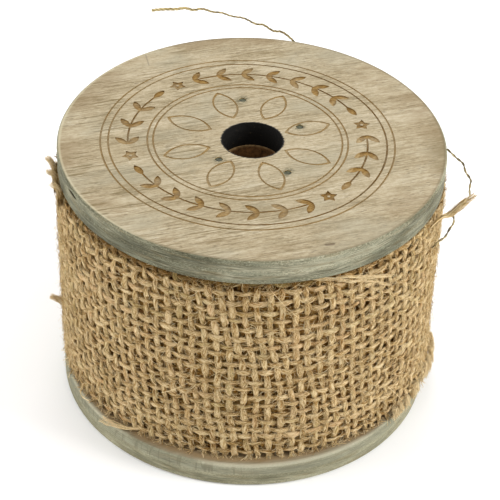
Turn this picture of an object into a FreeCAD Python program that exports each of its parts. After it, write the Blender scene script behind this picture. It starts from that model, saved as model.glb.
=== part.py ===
import FreeCAD, Part
import math
import os

from FreeCAD import Vector

# Wooden ribbon spool with a roll of hessian ribbon: two plywood flanges nailed to a turned core.
# Millimetres and degrees. The origin is on the spool's axis, on the surface that it stands on.
# +Z is up along the axis, -Y is the front, and angles turn anticlockwise from +X.

# Flanges
flange_radius = 42.5
flange_thickness = 6.0
flange_bore_radius = 6.7
rim_chamfer = 0.35
spool_height = 63.5

# Core, a little off the flanges' centre
core_radius = 19.0
core_bore_radius = 6.5
core_offset_x = 0.3

# Brads that hold each flange to the core, seen from above the top flange
brad_places = [(-2.6, 15.6), (10.3, 5.9), (-7.0, -7.7), (7.8, -11.5)]
brad_head_radius = 0.85
brad_head_thickness = 0.8
brad_shank_radius = 0.6
brad_shank_length = 18.0
brad_point_length = 1.8
brad_set_depth = 0.2

# Ribbon, wound as a spiral that grows by one thickness a turn
ribbon_width = 50.0
ribbon_thickness = 1.2
ribbon_lift = 0.4
roll_radius = 40.0
cut_end_angle = 105.0
loose_end_arc = 28.0
loose_end_clearance = 0.3

# Staples that hold the ribbon's inner end to the core
staple_angle = 180.0
staple_crown_length = 10.0
staple_wire_width = 1.2
staple_wire_thickness = 0.6
staple_leg_length = 7.0
staple_levels = (0.27, 0.73)

# Burnt decoration in the top flange's face
burn_depth = 0.25
burn_centre_x = -1.0
line_width = 0.42
ring_radii = (20.65, 21.9, 30.4, 32.1)
band_radius = 26.15
star_angles = (17.0, 129.0, 197.0, 312.0)
star_radius = 2.0
star_inner_share = 0.56
star_hole_radius = 0.32
star_points = 5
stem_width = 0.45
leaf_length = 3.9
leaf_width = 1.6
leaf_slant = 42.0
leaf_pair_step = 12.8
tip_overlap_angle = 1.5
gap_after_star = 9.0
gap_before_star = 15.0
petal_count = 8
petal_start_radius = 8.6
petal_length = 11.0
petal_width = 5.4

# Gap in the veneers at the top flange's rim
void_angle = 208.8
void_length = 4.6
void_height = 0.9
void_depth = 1.0
void_below_face = 1.5

# Loose yarn that has come out of the ribbon's top edge at the back
yarn_diameter = 0.5
yarn_route = [
    (12.2, 41.9, 57.0), (11.0, 42.6, 59.6), (9.2, 43.2, 62.3), (6.8, 44.0, 64.0),
    (3.4, 45.0, 64.3), (0.4, 45.4, 65.4), (-3.4, 45.5, 66.9), (-7.4, 45.8, 67.1),
    (-11.4, 45.6, 68.4), (-15.6, 45.4, 68.5), (-20.8, 45.0, 68.6), (-25.2, 44.2, 68.6),
]
arc_share_of_run = 0.45

core_length = spool_height - 2 * flange_thickness
core_top = spool_height - flange_thickness
ribbon_bottom = flange_thickness + ribbon_lift
up = Vector(0, 0, 1)


def polar(radius, angle, z=0.0, centre=Vector(0, 0, 0)):
    """The point at that radius and angle about a vertical line through centre."""
    turn = math.radians(angle)
    return centre + Vector(radius * math.cos(turn), radius * math.sin(turn), z)


def arc_edge(centre, radius, start, end):
    """An arc about centre from the angle start to the angle end."""
    places = (polar(radius, angle, 0, centre) for angle in (start, (start + end) / 2, end))
    return Part.Arc(*places).toShape()


def line_edge(start, end):
    return Part.LineSegment(start, end).toShape()


def raised(edges, bottom, height):
    """The prism that stands on a closed outline of edges."""
    prism = Part.Face(Part.Wire(Part.__sortEdges__(edges))).extrude(up * height)
    prism.translate(up * bottom)
    return prism


def cylinder(radius, height, bottom=0.0, x=0.0, y=0.0):
    return Part.makeCylinder(radius, height, Vector(x, y, bottom))


# Fasteners


def make_brad():
    """A brad that points down, with its head's top at the origin."""
    head = cylinder(brad_head_radius, brad_head_thickness, -brad_head_thickness)
    shank_bottom = -brad_head_thickness - brad_shank_length
    shank = cylinder(brad_shank_radius, brad_shank_length, shank_bottom)
    point = Part.makeCone(0, brad_shank_radius, brad_point_length, up * (shank_bottom - brad_point_length))
    return head.fuse([shank, point]).removeSplitter()


def place_top(shape, x, y):
    """A copy of a shape that points down, set into the top flange at x, y."""
    placed = shape.copy()
    placed.translate(Vector(x, y, spool_height - brad_set_depth))
    return placed


def place_bottom(shape, x, y):
    """A copy of a shape that points down, turned to point up and set into the bottom flange."""
    placed = shape.copy()
    placed.rotate(Vector(0, 0, 0), Vector(1, 0, 0), 180)
    placed.translate(Vector(x, -y, brad_set_depth))
    return placed


def brad_mouth():
    """The short hole above a brad's head, as the head is set below the surface."""
    return cylinder(brad_head_radius, brad_set_depth)


def make_staple(level):
    """A staple with a vertical crown over the ribbon's first turn and legs into the core."""
    crown_inside = core_radius + ribbon_thickness
    leg_start = crown_inside - staple_leg_length
    half_crown = staple_crown_length / 2
    half_width = staple_wire_width / 2
    crown = Part.makeBox(staple_wire_thickness, staple_wire_width, staple_crown_length)
    crown.translate(Vector(crown_inside, -half_width, -half_crown))
    staple = crown
    for leg_bottom in (-half_crown, half_crown - staple_wire_thickness):
        leg = Part.makeBox(staple_leg_length, staple_wire_width, staple_wire_thickness)
        leg.translate(Vector(leg_start, -half_width, leg_bottom))
        staple = staple.fuse(leg)
    staple = staple.removeSplitter()
    staple.rotate(Vector(0, 0, 0), up, staple_angle)
    staple.translate(up * (ribbon_bottom + level * ribbon_width))
    return staple


# Burnt decoration: every pocket is a prism through the top face


def burn_prism(edges):
    return raised(edges, spool_height - burn_depth, 2 * burn_depth)


def ring_groove(radius):
    bottom = spool_height - burn_depth
    outer = cylinder(radius + line_width / 2, 2 * burn_depth, bottom, burn_centre_x)
    inner = cylinder(radius - line_width / 2, 2 * burn_depth, bottom, burn_centre_x)
    return outer.cut(inner)


def leaf_edges(length, width):
    """A leaf outline from the origin along +X, made of two arcs."""
    start = Vector(0, 0, 0)
    end = Vector(length, 0, 0)
    sides = (Vector(length / 2, width / 2, 0), Vector(length / 2, -width / 2, 0))
    return [Part.Arc(start, side, end).toShape() for side in sides]


def placed_burn(prism, radius, angle, heading):
    """The prism turned to a heading and moved to a place on the decoration."""
    prism.rotate(Vector(0, 0, 0), up, heading)
    prism.translate(polar(radius, angle, 0, Vector(burn_centre_x, 0, 0)))
    return prism


def star_groove(angle):
    """A star with one point outwards and a bare spot in its middle."""
    corners = []
    for index in range(2 * star_points):
        reach = star_radius if index % 2 == 0 else star_radius * star_inner_share
        corners.append(polar(reach, index * 180.0 / star_points))
    star = burn_prism(Part.makePolygon(corners + corners[:1]).Edges)
    spot = cylinder(star_hole_radius, 2 * burn_depth, spool_height - burn_depth)
    return placed_burn(star.cut(spot), band_radius, angle, angle)


def sprig_grooves(start, end):
    """A sprig along the band, clockwise from start to end: a stem, pairs of leaves and an end leaf."""
    centre = Vector(burn_centre_x, 0, 0)
    inside = band_radius - stem_width / 2
    outside = band_radius + stem_width / 2
    stem = burn_prism([
        arc_edge(centre, inside, start, end),
        line_edge(polar(inside, end, 0, centre), polar(outside, end, 0, centre)),
        arc_edge(centre, outside, end, start),
        line_edge(polar(outside, start, 0, centre), polar(inside, start, 0, centre)),
    ])
    grooves = [stem]
    pair_count = round((start - end) / leaf_pair_step)
    for index in range(pair_count):
        angle = start - index * (start - end) / pair_count
        for slant in (leaf_slant, -leaf_slant):
            leaf = burn_prism(leaf_edges(leaf_length, leaf_width))
            grooves.append(placed_burn(leaf, band_radius, angle, angle - 90 + slant))
    tip = burn_prism(leaf_edges(leaf_length, leaf_width))
    tip_start = end + tip_overlap_angle
    grooves.append(placed_burn(tip, band_radius, tip_start, tip_start - 90))
    return grooves


def petal_groove(index):
    """An outlined petal that points away from the bore."""
    outer = burn_prism(leaf_edges(petal_length, petal_width))
    inner = burn_prism(leaf_edges(petal_length - 4 * line_width, petal_width - 2 * line_width))
    inner.translate(Vector(2 * line_width, 0, 0))
    heading = (index + 0.5) * 360.0 / petal_count
    return placed_burn(outer.cut(inner), petal_start_radius, heading, heading)


def decoration():
    grooves = [ring_groove(radius) for radius in ring_radii]
    grooves += [star_groove(angle) for angle in star_angles]
    grooves += [petal_groove(index) for index in range(petal_count)]
    for first, angle in enumerate(star_angles):
        following = star_angles[(first + 1) % len(star_angles)]
        span = (following - angle) % 360.0
        grooves += sprig_grooves(angle + span - gap_after_star, angle + gap_before_star)
    return grooves


# Wooden pieces


def make_flange(bottom):
    """A plain disc with eased rims and its bore."""
    disc = cylinder(flange_radius, flange_thickness, bottom)
    rims = [edge for edge in disc.Edges if edge.Curve.TypeId == "Part::GeomCircle"]
    disc = disc.makeChamfer(rim_chamfer, rims)
    return disc.cut(cylinder(flange_bore_radius, flange_thickness, bottom))


def rim_void():
    """A lens-shaped pocket in the rim where an inner veneer falls short."""
    pocket = Part.Face(Part.Wire(leaf_edges(void_length, void_height))).extrude(up * 2 * void_depth)
    pocket.translate(Vector(-void_length / 2, 0, -void_depth))
    pocket.rotate(Vector(0, 0, 0), Vector(1, 0, 0), 90)
    pocket.translate(Vector(0, -flange_radius, spool_height - void_below_face))
    pocket.rotate(Vector(0, 0, 0), up, void_angle + 90)
    return pocket


def make_core():
    core = cylinder(core_radius, core_length, flange_thickness)
    return core.cut(cylinder(core_bore_radius, core_length, flange_thickness, core_offset_x))


# Ribbon. A spiral of one thickness a turn is drawn as two half circles a turn: the first half is
# centred a quarter thickness back from the cut end, and the second a quarter thickness towards it.

first_centre = polar(-ribbon_thickness / 4, cut_end_angle)
second_centre = polar(ribbon_thickness / 4, cut_end_angle)
first_radius = roll_radius + ribbon_thickness / 4
second_radius = roll_radius + 3 * ribbon_thickness / 4
half_turn_angle = cut_end_angle + 180.0
full_turn_angle = cut_end_angle + 360.0


def make_winding():
    """The inner turns as one solid, from the core to the last turn but one."""
    inner_corner = polar(roll_radius, cut_end_angle)
    outer_corner = polar(roll_radius + ribbon_thickness, cut_end_angle)
    outline = [
        arc_edge(first_centre, first_radius, cut_end_angle, half_turn_angle),
        arc_edge(second_centre, second_radius, half_turn_angle, full_turn_angle),
        line_edge(outer_corner, inner_corner),
    ]
    roll = raised(outline, ribbon_bottom, ribbon_width)
    return roll.cut(cylinder(core_radius, ribbon_width, ribbon_bottom))


def band(centre, inside, outside, start, end):
    """A curved strip of ribbon between two radii and two angles about centre."""
    outline = [
        arc_edge(centre, inside, start, end),
        line_edge(polar(inside, end, 0, centre), polar(outside, end, 0, centre)),
        arc_edge(centre, outside, end, start),
        line_edge(polar(outside, start, 0, centre), polar(inside, start, 0, centre)),
    ]
    return raised(outline, ribbon_bottom, ribbon_width)


def make_outer_turn():
    """The last turn as far as the line where its end can lift."""
    lift_angle = full_turn_angle - loose_end_arc
    gap_angle = math.degrees(loose_end_clearance / second_radius)
    first_outside = first_radius + ribbon_thickness
    second_outside = second_radius + ribbon_thickness
    turn_end_angle = lift_angle - gap_angle
    first_half = band(first_centre, first_radius, first_outside, cut_end_angle, half_turn_angle)
    second_half = band(second_centre, second_radius, second_outside, half_turn_angle, turn_end_angle)
    return first_half.fuse(second_half).removeSplitter()


def make_loose_end():
    """The ribbon's free end, a little clear of the turn under it."""
    lift_angle = full_turn_angle - loose_end_arc
    inside = second_radius + loose_end_clearance
    return band(second_centre, inside, second_radius + ribbon_thickness, lift_angle, full_turn_angle)


# Loose yarn


def rounded_path(points):
    """Straight runs through the points, joined by tangent arcs, and the radius of each arc."""
    corners = [Vector(*point) for point in points]
    edges = []
    radii = []
    start = corners[0]
    for before, corner, after in zip(corners, corners[1:], corners[2:]):
        back = before - corner
        onward = after - corner
        shorter_run = min(back.Length, onward.Length)
        half_turn = (math.pi - back.getAngle(onward)) / 2
        reach = arc_share_of_run * shorter_run
        radius = reach / math.tan(half_turn)
        back.normalize()
        onward.normalize()
        inward = back + onward
        inward.normalize()
        middle = corner + inward * (radius / math.cos(half_turn) - radius)
        arc_start = corner + back * reach
        arc_end = corner + onward * reach
        edges += [line_edge(start, arc_start), Part.Arc(arc_start, middle, arc_end).toShape()]
        radii.append(round(radius, 2))
        start = arc_end
    edges.append(line_edge(start, corners[-1]))
    return Part.Wire(edges), radii


def make_loose_yarn():
    path, radii = rounded_path(yarn_route)
    start = Vector(*yarn_route[0])
    section = Part.Wire(Part.Circle(start, Vector(*yarn_route[1]) - start, yarn_diameter / 2).toShape())
    tube = path.makePipeShell([section], True, False)
    expected = math.pi * (yarn_diameter / 2) ** 2 * path.Length
    print(f"loose yarn: {path.Length:.1f} mm long, bend radii {radii}")
    print(f"loose yarn: volume {tube.Volume:.3f}, section times length {expected:.3f}")
    return tube


def make_parts():
    brad = make_brad()
    top_brads = [place_top(brad, x, y) for x, y in brad_places]
    bottom_brads = [place_bottom(brad, x, y) for x, y in brad_places]
    top_mouths = [place_top(brad_mouth(), x, y) for x, y in brad_places]
    bottom_mouths = [place_bottom(brad_mouth(), x, y) for x, y in brad_places]
    staples = [make_staple(level) for level in staple_levels]

    parts = {
        "top_flange": make_flange(core_top).cut(decoration() + [rim_void()] + top_brads + top_mouths),
        "bottom_flange": make_flange(0.0).cut(bottom_brads + bottom_mouths),
        "core": make_core().cut(top_brads + bottom_brads + staples),
        "ribbon_inner_turns": make_winding().cut(staples),
        "ribbon_outer_turn": make_outer_turn(),
        "ribbon_loose_end": make_loose_end(),
        "loose_yarn": make_loose_yarn(),
    }
    for number, (top_brad, bottom_brad) in enumerate(zip(top_brads, bottom_brads), 1):
        parts[f"top_brad_{number}"] = top_brad
        parts[f"bottom_brad_{number}"] = bottom_brad
    for number, staple in enumerate(staples, 1):
        parts[f"inner_end_staple_{number}"] = staple
    return parts


os.makedirs("parts", exist_ok=True)
for name, shape in make_parts().items():
    if len(shape.Solids) != 1 or not shape.isValid():
        raise ValueError(f"{name} has {len(shape.Solids)} solids and valid is {shape.isValid()}")
    shape.Solids[0].exportStep(f"parts/{name}.step")
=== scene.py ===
import math

import bpy
import numpy as np
from mathutils import Matrix, Vector


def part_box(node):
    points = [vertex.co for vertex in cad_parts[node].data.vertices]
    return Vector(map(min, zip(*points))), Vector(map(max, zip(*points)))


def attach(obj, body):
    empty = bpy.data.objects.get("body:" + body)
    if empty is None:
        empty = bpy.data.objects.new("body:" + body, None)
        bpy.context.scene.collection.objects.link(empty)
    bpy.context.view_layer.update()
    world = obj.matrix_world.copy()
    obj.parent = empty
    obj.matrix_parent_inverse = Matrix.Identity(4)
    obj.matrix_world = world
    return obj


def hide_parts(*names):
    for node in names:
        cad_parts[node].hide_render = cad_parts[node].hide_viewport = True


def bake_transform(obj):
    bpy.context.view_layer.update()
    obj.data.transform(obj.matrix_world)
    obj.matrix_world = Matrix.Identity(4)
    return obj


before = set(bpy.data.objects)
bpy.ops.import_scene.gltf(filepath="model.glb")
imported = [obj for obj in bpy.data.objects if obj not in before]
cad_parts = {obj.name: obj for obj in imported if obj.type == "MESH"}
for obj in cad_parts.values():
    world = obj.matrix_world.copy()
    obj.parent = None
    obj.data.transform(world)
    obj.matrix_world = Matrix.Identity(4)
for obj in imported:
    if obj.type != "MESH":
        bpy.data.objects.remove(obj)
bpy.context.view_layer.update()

# A wooden ribbon spool wound with hessian ribbon. The wood, the brads and the staples keep their CAD
# shapes and get materials. The ribbon is woven here yarn by yarn, in place of its CAD solids.
# Shapes are worked out in millimetres and turned into metres when a mesh is made. Angles are in degrees
# anticlockwise from +X, seen from above; -Y is the front. Along the ribbon they go on counting past 360.

mm = 0.001
random = np.random.default_rng(11)


def box_mm(node):
    low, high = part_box(node)
    return np.array(low) / mm, np.array(high) / mm


# Camera


def set_camera(target, elevation, distance, roll, lens):
    """Looks at target from the front, from that elevation, turned by roll about the line of sight."""
    tilt = math.radians(elevation)
    away = Vector((0, -math.cos(tilt), math.sin(tilt)))
    turned = Matrix.Rotation(math.radians(roll), 3, away)
    right = turned @ Vector((1, 0, 0))
    axes = Matrix((right, away.cross(right), away)).transposed()
    data = bpy.data.cameras.new("camera")
    data.lens = lens
    data.sensor_width = 36.0
    data.clip_start = 0.01
    camera = bpy.data.objects.new("camera", data)
    camera.matrix_world = Matrix.Translation(target + away * distance) @ axes.to_4x4()
    bpy.context.scene.collection.objects.link(camera)
    bpy.context.scene.camera = camera


set_camera(Vector((0.00047, 0, 0.0329)), elevation=38.37, distance=0.4111, roll=2.39, lens=129.5)

# Spool, from the CAD

flange_radius = box_mm("top_flange")[1][0]
face_height = box_mm("top_flange")[1][2]
top_flange_underside = box_mm("top_flange")[0][2]
bottom_flange_top = box_mm("bottom_flange")[1][2]
ribbon_bottom = box_mm("ribbon_outer_turn")[0][2]
ribbon_top = box_mm("ribbon_outer_turn")[1][2]
ribbon_middle = (ribbon_bottom + ribbon_top) / 2
ribbon_width = ribbon_top - ribbon_bottom
core_radius = box_mm("core")[1][0]

# Ribbon as wound: a spiral that grows by one thickness a turn, from the core to the cut end

ribbon_thickness = 1.2
cut_end_angle = 105.0 + 360.0
lift_angle = cut_end_angle - 28.0
last_turn_start = cut_end_angle - 360.0
last_turn_radius = 40.45
arc_radius = 41.5

# Weave

crosswise_pitch = 2.6
lengthwise_count = 21
lengthwise_pitch = ribbon_width / lengthwise_count
crosswise_size = (0.71, 0.33)
lengthwise_size = (0.62, 0.33)
crosswise_crimp = 0.20
crosswise_skew = 5.0
lengthwise_crimp = 0.25
crimp_flatness = 0.8
core_share = 0.86
strand_radius = (0.13, 0.22)

# Loose yarn that stands over the top flange at the back

cord_diameter = 0.5
cord_route = [
    (12.2, 41.9, 57.0), (11.0, 42.6, 59.6), (8.9, 43.3, 62.3), (5.9, 44.3, 64.4), (3.8, 44.9, 63.7),
    (1.4, 45.3, 65.5), (-0.3, 45.4, 65.1), (-3.2, 45.5, 66.9), (-6.1, 45.7, 66.9), (-8.7, 45.7, 68.0),
    (-10.6, 45.6, 67.9), (-13.2, 45.5, 69.0), (-15.3, 45.4, 68.3), (-17.1, 45.3, 69.1), (-19.3, 45.1, 68.6),
    (-21.9, 44.8, 68.8), (-25.0, 44.2, 68.6),
]


# Materials: a small way to write node trees


class Nodes:
    """Adds nodes to one material. Its methods take and return values as node sockets."""

    def __init__(self, name):
        self.material = bpy.data.materials.new(name)
        self.material.use_nodes = True
        self.tree = self.material.node_tree
        self.shader = self.tree.nodes["Principled BSDF"]

    def set(self, socket, value):
        if isinstance(value, bpy.types.NodeSocket):
            self.tree.links.new(value, socket)
        else:
            socket.default_value = value

    def add(self, kind, inputs, output=0, **settings):
        made = self.tree.nodes.new("ShaderNode" + kind)
        for name, value in settings.items():
            setattr(made, name, value)
        for key, value in inputs.items():
            self.set(made.inputs[key], value)
        return made.outputs[output]

    def math(self, operation, *values):
        return self.add("Math", dict(enumerate(values)), operation=operation)

    def times(self, first, *others):
        """The product of the values."""
        for value in others:
            first = self.math("MULTIPLY", first, value)
        return first

    def shifted(self, base, value, strength):
        """base moved by strength times the value's distance from one half."""
        return self.math("MULTIPLY_ADD", self.math("SUBTRACT", value, 0.5), strength, base)

    def place(self, scale=(1, 1, 1), turn=0.0):
        """A point of the object in millimetres, turned about the vertical and scaled."""
        turned = self.add("Mapping", {0: self.add("TexCoord", {}, output=3), 2: (0, 0, math.radians(-turn))})
        return self.add("Mapping", {0: turned, 3: tuple(share / mm for share in scale)})

    def cylindrical(self):
        """A point's x, y, z and distance from the axis, in millimetres."""
        x, y, z = self.add("SeparateXYZ", {0: self.place()}).node.outputs
        return x, y, z, self.math("SQRT", self.math("ADD", self.times(x, x), self.times(y, y)))

    def noise(self, place, detail, roughness=0.55, distortion=0.0):
        inputs = {
            "Vector": place, "Scale": 1.0, "Detail": detail, "Roughness": roughness, "Distortion": distortion,
        }
        return self.add("TexNoise", inputs)

    def scaled_noise(self, place, scale, detail, roughness=0.55, distortion=0.0):
        """Noise drawn out along the axes where scale is small."""
        return self.noise(self.add("Mapping", {0: place, 3: scale}), detail, roughness, distortion)

    def grain(self, scale, detail, roughness=0.55, distortion=0.0):
        """Noise along the wood's grain. scale is along it, across it and upwards, per millimetre."""
        return self.noise(self.place(scale, grain_turn), detail, roughness, distortion)

    def step(self, value, start, end):
        """0 below start, 1 above end and a smooth rise between them, or the other way round."""
        inputs = {"Value": value, "From Min": start, "From Max": end}
        return self.add("MapRange", inputs, interpolation_type="SMOOTHSTEP")

    def band(self, value, start, rise, fall, end):
        """1 between rise and fall, and 0 outside start and end."""
        return self.times(self.step(value, start, rise), self.step(value, end, fall))

    def ramp(self, value, stops):
        """A colour ramp through (position, sRGB colour) stops."""
        made = self.tree.nodes.new("ShaderNodeValToRGB")
        elements = made.color_ramp.elements
        while len(elements) < len(stops):
            elements.new(0.5)
        for element, (position, colour) in zip(elements, stops):
            element.position = position
            element.color = linear(colour)
        self.tree.links.new(value, made.inputs[0])
        return made.outputs[0]

    def mix(self, share, first, second):
        made = self.tree.nodes.new("ShaderNodeMix")
        made.data_type = "RGBA"
        for socket, value in zip((made.inputs[0], made.inputs[6], made.inputs[7]), (share, first, second)):
            self.set(socket, value)
        return made.outputs[2]

    def tint(self, base, colour, *shares):
        """base with some of an sRGB colour in it: the product of the shares."""
        return self.mix(self.times(*shares), base, linear(colour))

    def stroke(self, x, y, start, end, half_width):
        """1 on the straight line from start to end, in millimetres, and 0 further away."""
        length = math.dist(start, end)
        along = ((end[0] - start[0]) / length, (end[1] - start[1]) / length)
        apart = (self.math("SUBTRACT", x, start[0]), self.math("SUBTRACT", y, start[1]))
        run, off = (
            self.math("ADD", self.times(apart[0], p), self.times(apart[1], q))
            for p, q in (along, (-along[1], along[0]))
        )
        from_middle = self.math("ABSOLUTE", self.math("SUBTRACT", run, length / 2))
        past = self.math("MAXIMUM", self.math("SUBTRACT", from_middle, length / 2), 0.0)
        distance = self.math("SQRT", self.math("MULTIPLY_ADD", off, off, self.times(past, past)))
        return self.step(distance, half_width, half_width * 0.3)

    def finish(self, colour, roughness, height, bump_depth, constants):
        """Connects the surface: height is in units of bump_depth millimetres."""
        self.set(self.shader.inputs["Base Color"], colour)
        self.set(self.shader.inputs["Roughness"], roughness)
        for name, value in constants.items():
            self.shader.inputs[name].default_value = value
        bump = self.add("Bump", {"Strength": 1.0, "Distance": bump_depth * mm, "Height": height})
        self.set(self.shader.inputs["Normal"], bump)
        return self.material


def linear(colour):
    """A shader colour from sRGB numbers of 0 to 255."""
    shares = (value / 255 for value in colour)
    return tuple(s / 12.92 if s <= 0.04045 else ((s + 0.055) / 1.055) ** 2.4 for s in shares) + (1.0,)


# Jute


def jute_material(name, dark, middle, light, fibre_depth):
    """Twisted jute. The mesh attribute "fibre" gives a point's place in its yarn, untwisted, and "tone" how
    light the yarn is there.
    On the ribbon and its fringe, tone also holds painted shade and painted light."""
    nodes = Nodes(name)
    fibre = nodes.add("Attribute", {}, output=1, attribute_name="fibre")
    tone = nodes.add("Attribute", {}, output=2, attribute_name="tone")
    strands = nodes.scaled_noise(fibre, (2.5, 2.5, 0.30), 5.0, 0.75)
    patches = nodes.scaled_noise(fibre, (0.6, 0.6, 0.45), 2.0)
    yarn_hue = nodes.scaled_noise(fibre, (0.04, 0.04, 0.031), 1.0)
    level = nodes.shifted(tone, nodes.step(strands, 0.30, 0.70), 1.25)
    level = nodes.shifted(level, patches, 0.5)
    lit = nodes.step(level, 0.05, 0.40)
    deepest = tuple(0.7 * value for value in dark)
    colour = nodes.ramp(level, [(0.0, deepest), (0.12, dark), (0.45, middle), (0.88, light)])
    colour = nodes.tint(colour, (196, 146, 104), nodes.step(yarn_hue, 0.50, 0.68), lit, 0.30)
    colour = nodes.tint(colour, (158, 148, 94), nodes.step(yarn_hue, 0.48, 0.34), 0.28)
    fuzz = {
        "Sheen Weight": 0.55, "Sheen Roughness": 0.45, "Sheen Tint": linear((236, 208, 158)),
        "Specular IOR Level": 0.08,
    }
    roughness = nodes.math("MULTIPLY_ADD", strands, 0.25, 0.6)
    return nodes.finish(colour, roughness, strands, fibre_depth, fuzz)


jute_yarn = jute_material("jute_yarn", (130, 90, 26), (181, 151, 100), (219, 197, 154), 0.35)
# The turn beneath and the inner turns: the same jute painted darker and browner, as painted shade seen in the
# holes of the weave.
jute_beneath_painted_shade = jute_material("jute_beneath_painted_shade", (110, 66, 10), (156, 110, 40), (188, 148, 80), 0.25)
jute_hair = jute_material("jute_hair", (128, 92, 34), (202, 172, 116), (240, 221, 178), 0.03)
# The loose threads: jute painted greyer and darker, as painted shade on thin threads.
jute_thread_painted_shade = jute_material("jute_thread_painted_shade", (98, 86, 56), (150, 136, 98), (206, 186, 134), 0.03)


# Wood

grain_turn = 19.0
ply_thickness = 1.2
marks_inner_radius = 23.6
marks_outer_radius = 30.8
torn_wood_radius = 1.9
charred_radius = 7.2
rim_unrolled_radius = 40.0


def burnt(nodes, colour, radius, inwards, depth):
    """Browns what lies below the top face: the floor and the walls of the burnt lines."""
    on_floor = nodes.step(depth, 0.16, 0.22)
    in_pocket = nodes.step(depth, 0.02, 0.07)
    on_face = nodes.step(inwards, 1.0, 1.5)
    scorch = nodes.grain((0.8, 1.8, 0.5), 3.0, 0.7)
    in_marks = nodes.band(
        radius, marks_inner_radius - 0.2, marks_inner_radius + 0.2,
        marks_outer_radius - 0.2, marks_outer_radius + 0.2,
    )
    lines = nodes.ramp(scorch, [(0.3, (146, 118, 68)), (0.7, (178, 152, 106))])
    wall = nodes.ramp(scorch, [(0.3, (112, 80, 30)), (0.7, (144, 110, 54))])
    floor = nodes.ramp(scorch, [(0.32, (100, 72, 24)), (0.5, (132, 100, 44)), (0.68, (158, 126, 70))])
    brown = nodes.mix(in_marks, lines, nodes.mix(on_floor, wall, floor))
    faded = nodes.grain((0.12, 0.2, 0.1), 3.0)
    strength = nodes.math("MULTIPLY_ADD", nodes.step(faded, 0.36, 0.60), 0.4, 0.6)
    return nodes.mix(nodes.times(in_pocket, on_face, strength), colour, brown)


def rim_level_by_angle(nodes, around_rim, level):
    """The top flange's rim is darker at the front left and at the right, and paler between them."""
    fade = 20.0
    for start, end, change in ((-176.0, -92.0, -0.13), (-60.0, 2.0, -0.07), (-98.0, -50.0, 0.12)):
        here = nodes.band(around_rim, start, start + fade, end - fade, end)
        level = nodes.math("MULTIPLY_ADD", here, change, level)
    return level


def marked_face(nodes, face, x, y, streaks, speckle):
    """The top face's knot, scratch, stain beside the right rim, and torn wood round the brads."""
    knot = nodes.stroke(x, y, (15.9, -35.9), (17.3, -35.5), 0.55)
    scratch = nodes.stroke(x, y, (-25.6, 32.6), (-24.6, 28.4), 0.22)
    stain = nodes.stroke(x, y, (44.0, 7.0), (43.5, -5.0), 8.0)
    face = nodes.tint(face, (84, 66, 46), knot, 0.7)
    face = nodes.tint(face, (112, 104, 88), scratch, 0.5)
    face = nodes.tint(face, (118, 102, 68), stain, nodes.step(streaks, 0.30, 0.62), 0.75)
    torn_wood = nodes.ramp(speckle, [(0.42, (74, 72, 50)), (0.58, (164, 152, 122))])
    for brad in (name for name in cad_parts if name.startswith("top_brad")):
        middle = sum(box_mm(brad))[:2] / 2
        torn = nodes.stroke(x, y, middle - 0.3, middle + 0.3, torn_wood_radius)
        face = nodes.mix(nodes.times(torn, 0.7), face, torn_wood)
    return face


def plain_face(nodes, face, radius, depth, wash):
    """The bottom flange's faces: greyer, and brown on the upper one next to the ribbon: partly a stain from
    the jute, partly painted shadow and painted reflection of the ribbon.
    """
    face = nodes.tint(face, (128, 124, 104), 0.6)
    # Brown next to the ribbon: partly stain, partly painted shadow and painted reflection.
    by_ribbon_stain_and_shade = nodes.step(nodes.math("MULTIPLY_ADD", wash, 3.0, radius), 43.6, 42.2)
    return nodes.tint(face, (142, 112, 70), by_ribbon_stain_and_shade, nodes.step(depth, 3.0, 1.0), 0.6)


def washed_face(nodes, x, radius):
    """The faces' colour before any marks, and the noises that it is made of."""
    streaks = nodes.grain((0.03, 0.22, 0.2), 4.0, 0.6, 0.8)
    fibres = nodes.grain((0.28, 2.6, 1.0), 4.0, 0.75, 0.3)
    speckle = nodes.grain((1.3, 2.2, 1.3), 3.0, 0.7)
    pores = nodes.grain((0.13, 3.4, 1.0), 3.0, 0.6)
    ticks = nodes.grain((0.55, 5.0, 1.0), 1.0, 0.5)
    pore_patches = nodes.grain((0.10, 0.22, 0.1), 2.0, 0.5)
    wash = nodes.grain((0.05, 0.09, 0.05), 4.0, 0.6)
    level = nodes.math("MULTIPLY_ADD", streaks, 0.45, nodes.times(fibres, 0.55))
    level = nodes.shifted(level, speckle, 0.35)
    face = nodes.ramp(level, [(0.33, (128, 112, 80)), (0.49, (168, 153, 123)), (0.66, (192, 180, 154))])
    coarse_side = nodes.math("MULTIPLY_ADD", nodes.step(x, 20.0, -24.0), 0.45, 0.55)
    pore_share = nodes.times(nodes.step(pores, 0.50, 0.61), nodes.step(pore_patches, 0.30, 0.56), coarse_side)
    face = nodes.tint(face, (112, 96, 60), pore_share, 0.9)
    tick_share = nodes.times(nodes.step(ticks, 0.62, 0.70), nodes.step(pore_patches, 0.30, 0.50))
    face = nodes.tint(face, (100, 86, 60), tick_share, 0.7)
    face = nodes.tint(face, (158, 152, 130), nodes.step(wash, 0.46, 0.70), 0.45)
    stained = nodes.times(nodes.step(radius, 33.0, 42.0), nodes.step(wash, 0.52, 0.38))
    face = nodes.tint(face, (132, 112, 80), stained, 0.55)
    return face, level, streaks, fibres, speckle, wash


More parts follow.
